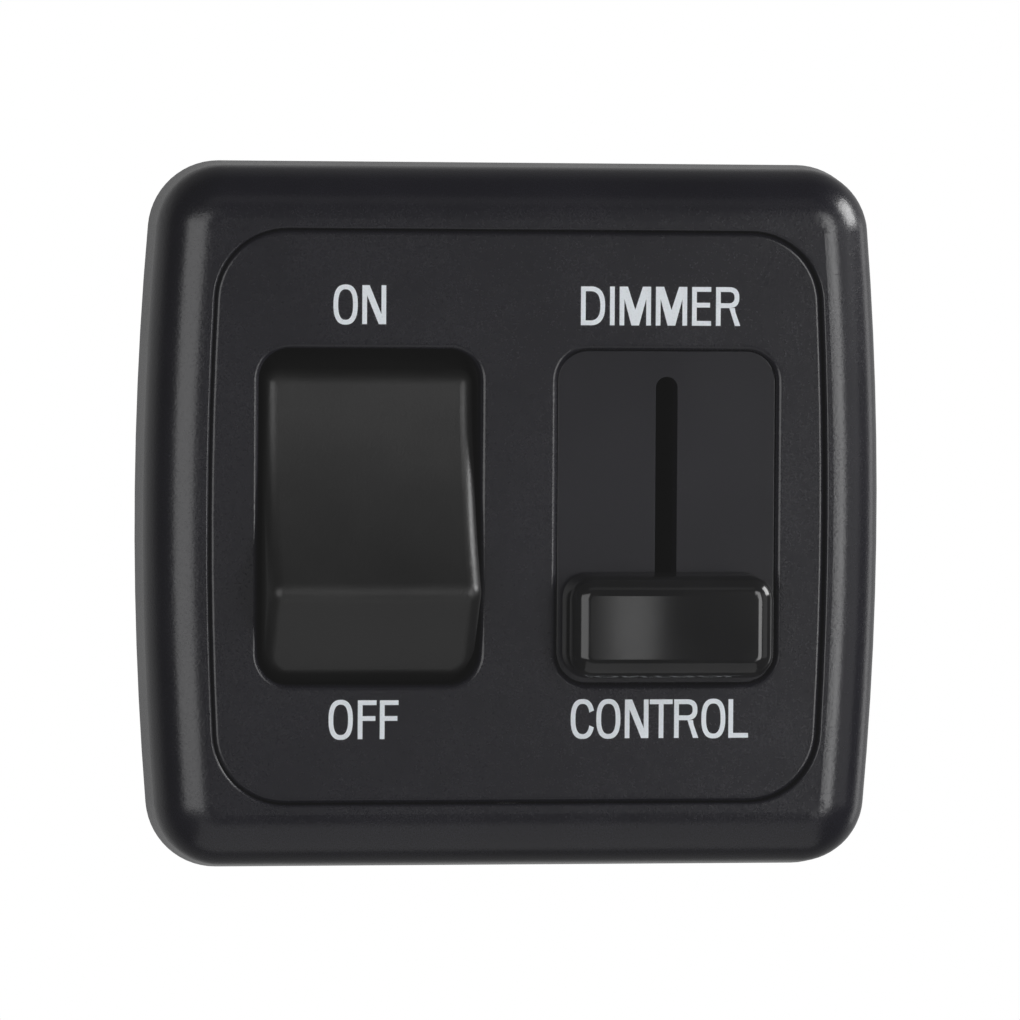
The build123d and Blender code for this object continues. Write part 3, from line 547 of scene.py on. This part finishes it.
# studio: white behind and dim in front, with soft boxes on both sides, above and below
studio = {
    "frontGlow": 0.03, "backGlow": 0.42, "glowEdge": (0.0, 0.55),    # edges: Y and Z of a unit bearing
    "poleShade": 0.65, "poleEdge": (0.2, 0.8), "white": tint(1, 1, 1), "backdrop": 1.0, "veil": 0.009,
}
softBoxes = {                          # azimuth, elevation, distance, width, height, watts
    "soft_left": (-33, 2, 1.3, 1.0, 0.8, 6.3),
    "soft_right": (31, 3, 0.5, 0.142, 0.34, 0.78),
    "fill_right": (60, 3, 1.0, 0.5, 0.6, 0.55),
    "edge_right": (114, -6, 1.2, 0.3, 0.8, 0.9),
    "window_strip": (6.6, -3, 1.2, 0.09, 0.07, 0.055),
    "sky_panel": (0, 42, 1.3, 0.9, 0.35, 0.2),
    "floor_bounce": (0, -60, 0.55, 0.6, 0.7, 0.62),
    "key_right": (83, 25, 1.1, 0.55, 0.5, 9.5),
}


def bearing(azimuth, elevation):
    turn, lift = math.radians(azimuth), math.radians(elevation)
    return Vector((math.sin(turn) * math.cos(lift), -math.cos(turn) * math.cos(lift), math.sin(lift)))


# world seen by the camera is the backdrop; what surfaces see turns from dim in front to white behind
def lightWorld(look):
    world = bpy.data.worlds.new("studio")
    bpy.context.scene.world = world
    finish = Finish(world, "Background")
    bearings = finish.node("ShaderNodeTexCoord", output="Generated")
    ahead = finish.node("ShaderNodeSeparateXYZ", {}, {0: bearings}, output="Y")
    above = finish.node("ShaderNodeSeparateXYZ", {}, {0: bearings}, output="Z")
    level = finish.node("ShaderNodeMath", {"operation": "ABSOLUTE"}, {0: above})
    behind = ahead.rise(*look["glowEdge"]) * (1 - level.rise(*look["poleEdge"]) * look["poleShade"])
    glow = look["frontGlow"] + behind * (look["backGlow"] - look["frontGlow"])
    seen = finish.node("ShaderNodeLightPath", output="Is Camera Ray")
    finish.set(Color=look["white"], Strength=seen * look["backdrop"] + (1 - seen) * glow)


def softBox(name, azimuth, elevation, distance, width, height, watts):
    lamp = bpy.data.lights.new(name, "AREA")
    lamp.shape = "RECTANGLE"
    lamp.size = width
    lamp.size_y = height
    lamp.energy = watts
    holder = bpy.data.objects.new(name, lamp)
    holder.location = bearing(azimuth, elevation) * distance
    holder.rotation_euler = (-holder.location).to_track_quat("-Z", "Y").to_euler()
    holder.visible_camera = False
    bpy.context.scene.collection.objects.link(holder)


lightWorld(studio)
for name, values in softBoxes.items():
    softBox(name, *values)


# the white surroundings veil the lens a little, so black is not quite black
def setDevelopment(veil):
    settings = bpy.context.scene.view_settings
    settings.view_transform = "Standard"
    settings.look = "None"
    settings.use_curve_mapping = True
    settings.curve_mapping.black_level = (-veil, -veil, -veil)


setDevelopment(studio["veil"])

viewLook = {
    "azimuth": -8.5, "elevation": 2.0, "roll": 0.35, "distance": 0.65, "lens": 246.0,
    "sensor": 36.0, "aim": (-0.16 * mm, -3 * mm, 0.5 * mm),
}


def addCamera(look):
    data = bpy.data.cameras.new("camera")
    data.lens = look["lens"]
    data.sensor_width = look["sensor"]
    camera = bpy.data.objects.new("camera", data)
    back = bearing(look["azimuth"], look["elevation"])
    camera.location = Vector(look["aim"]) + back * look["distance"]
    turned = (-back).to_track_quat("-Z", "Y") @ Quaternion((0, 0, 1), math.radians(look["roll"]))
    camera.rotation_euler = turned.to_euler()
    bpy.context.scene.collection.objects.link(camera)
    bpy.context.scene.camera = camera


addCamera(viewLook)
print("studio and camera set")
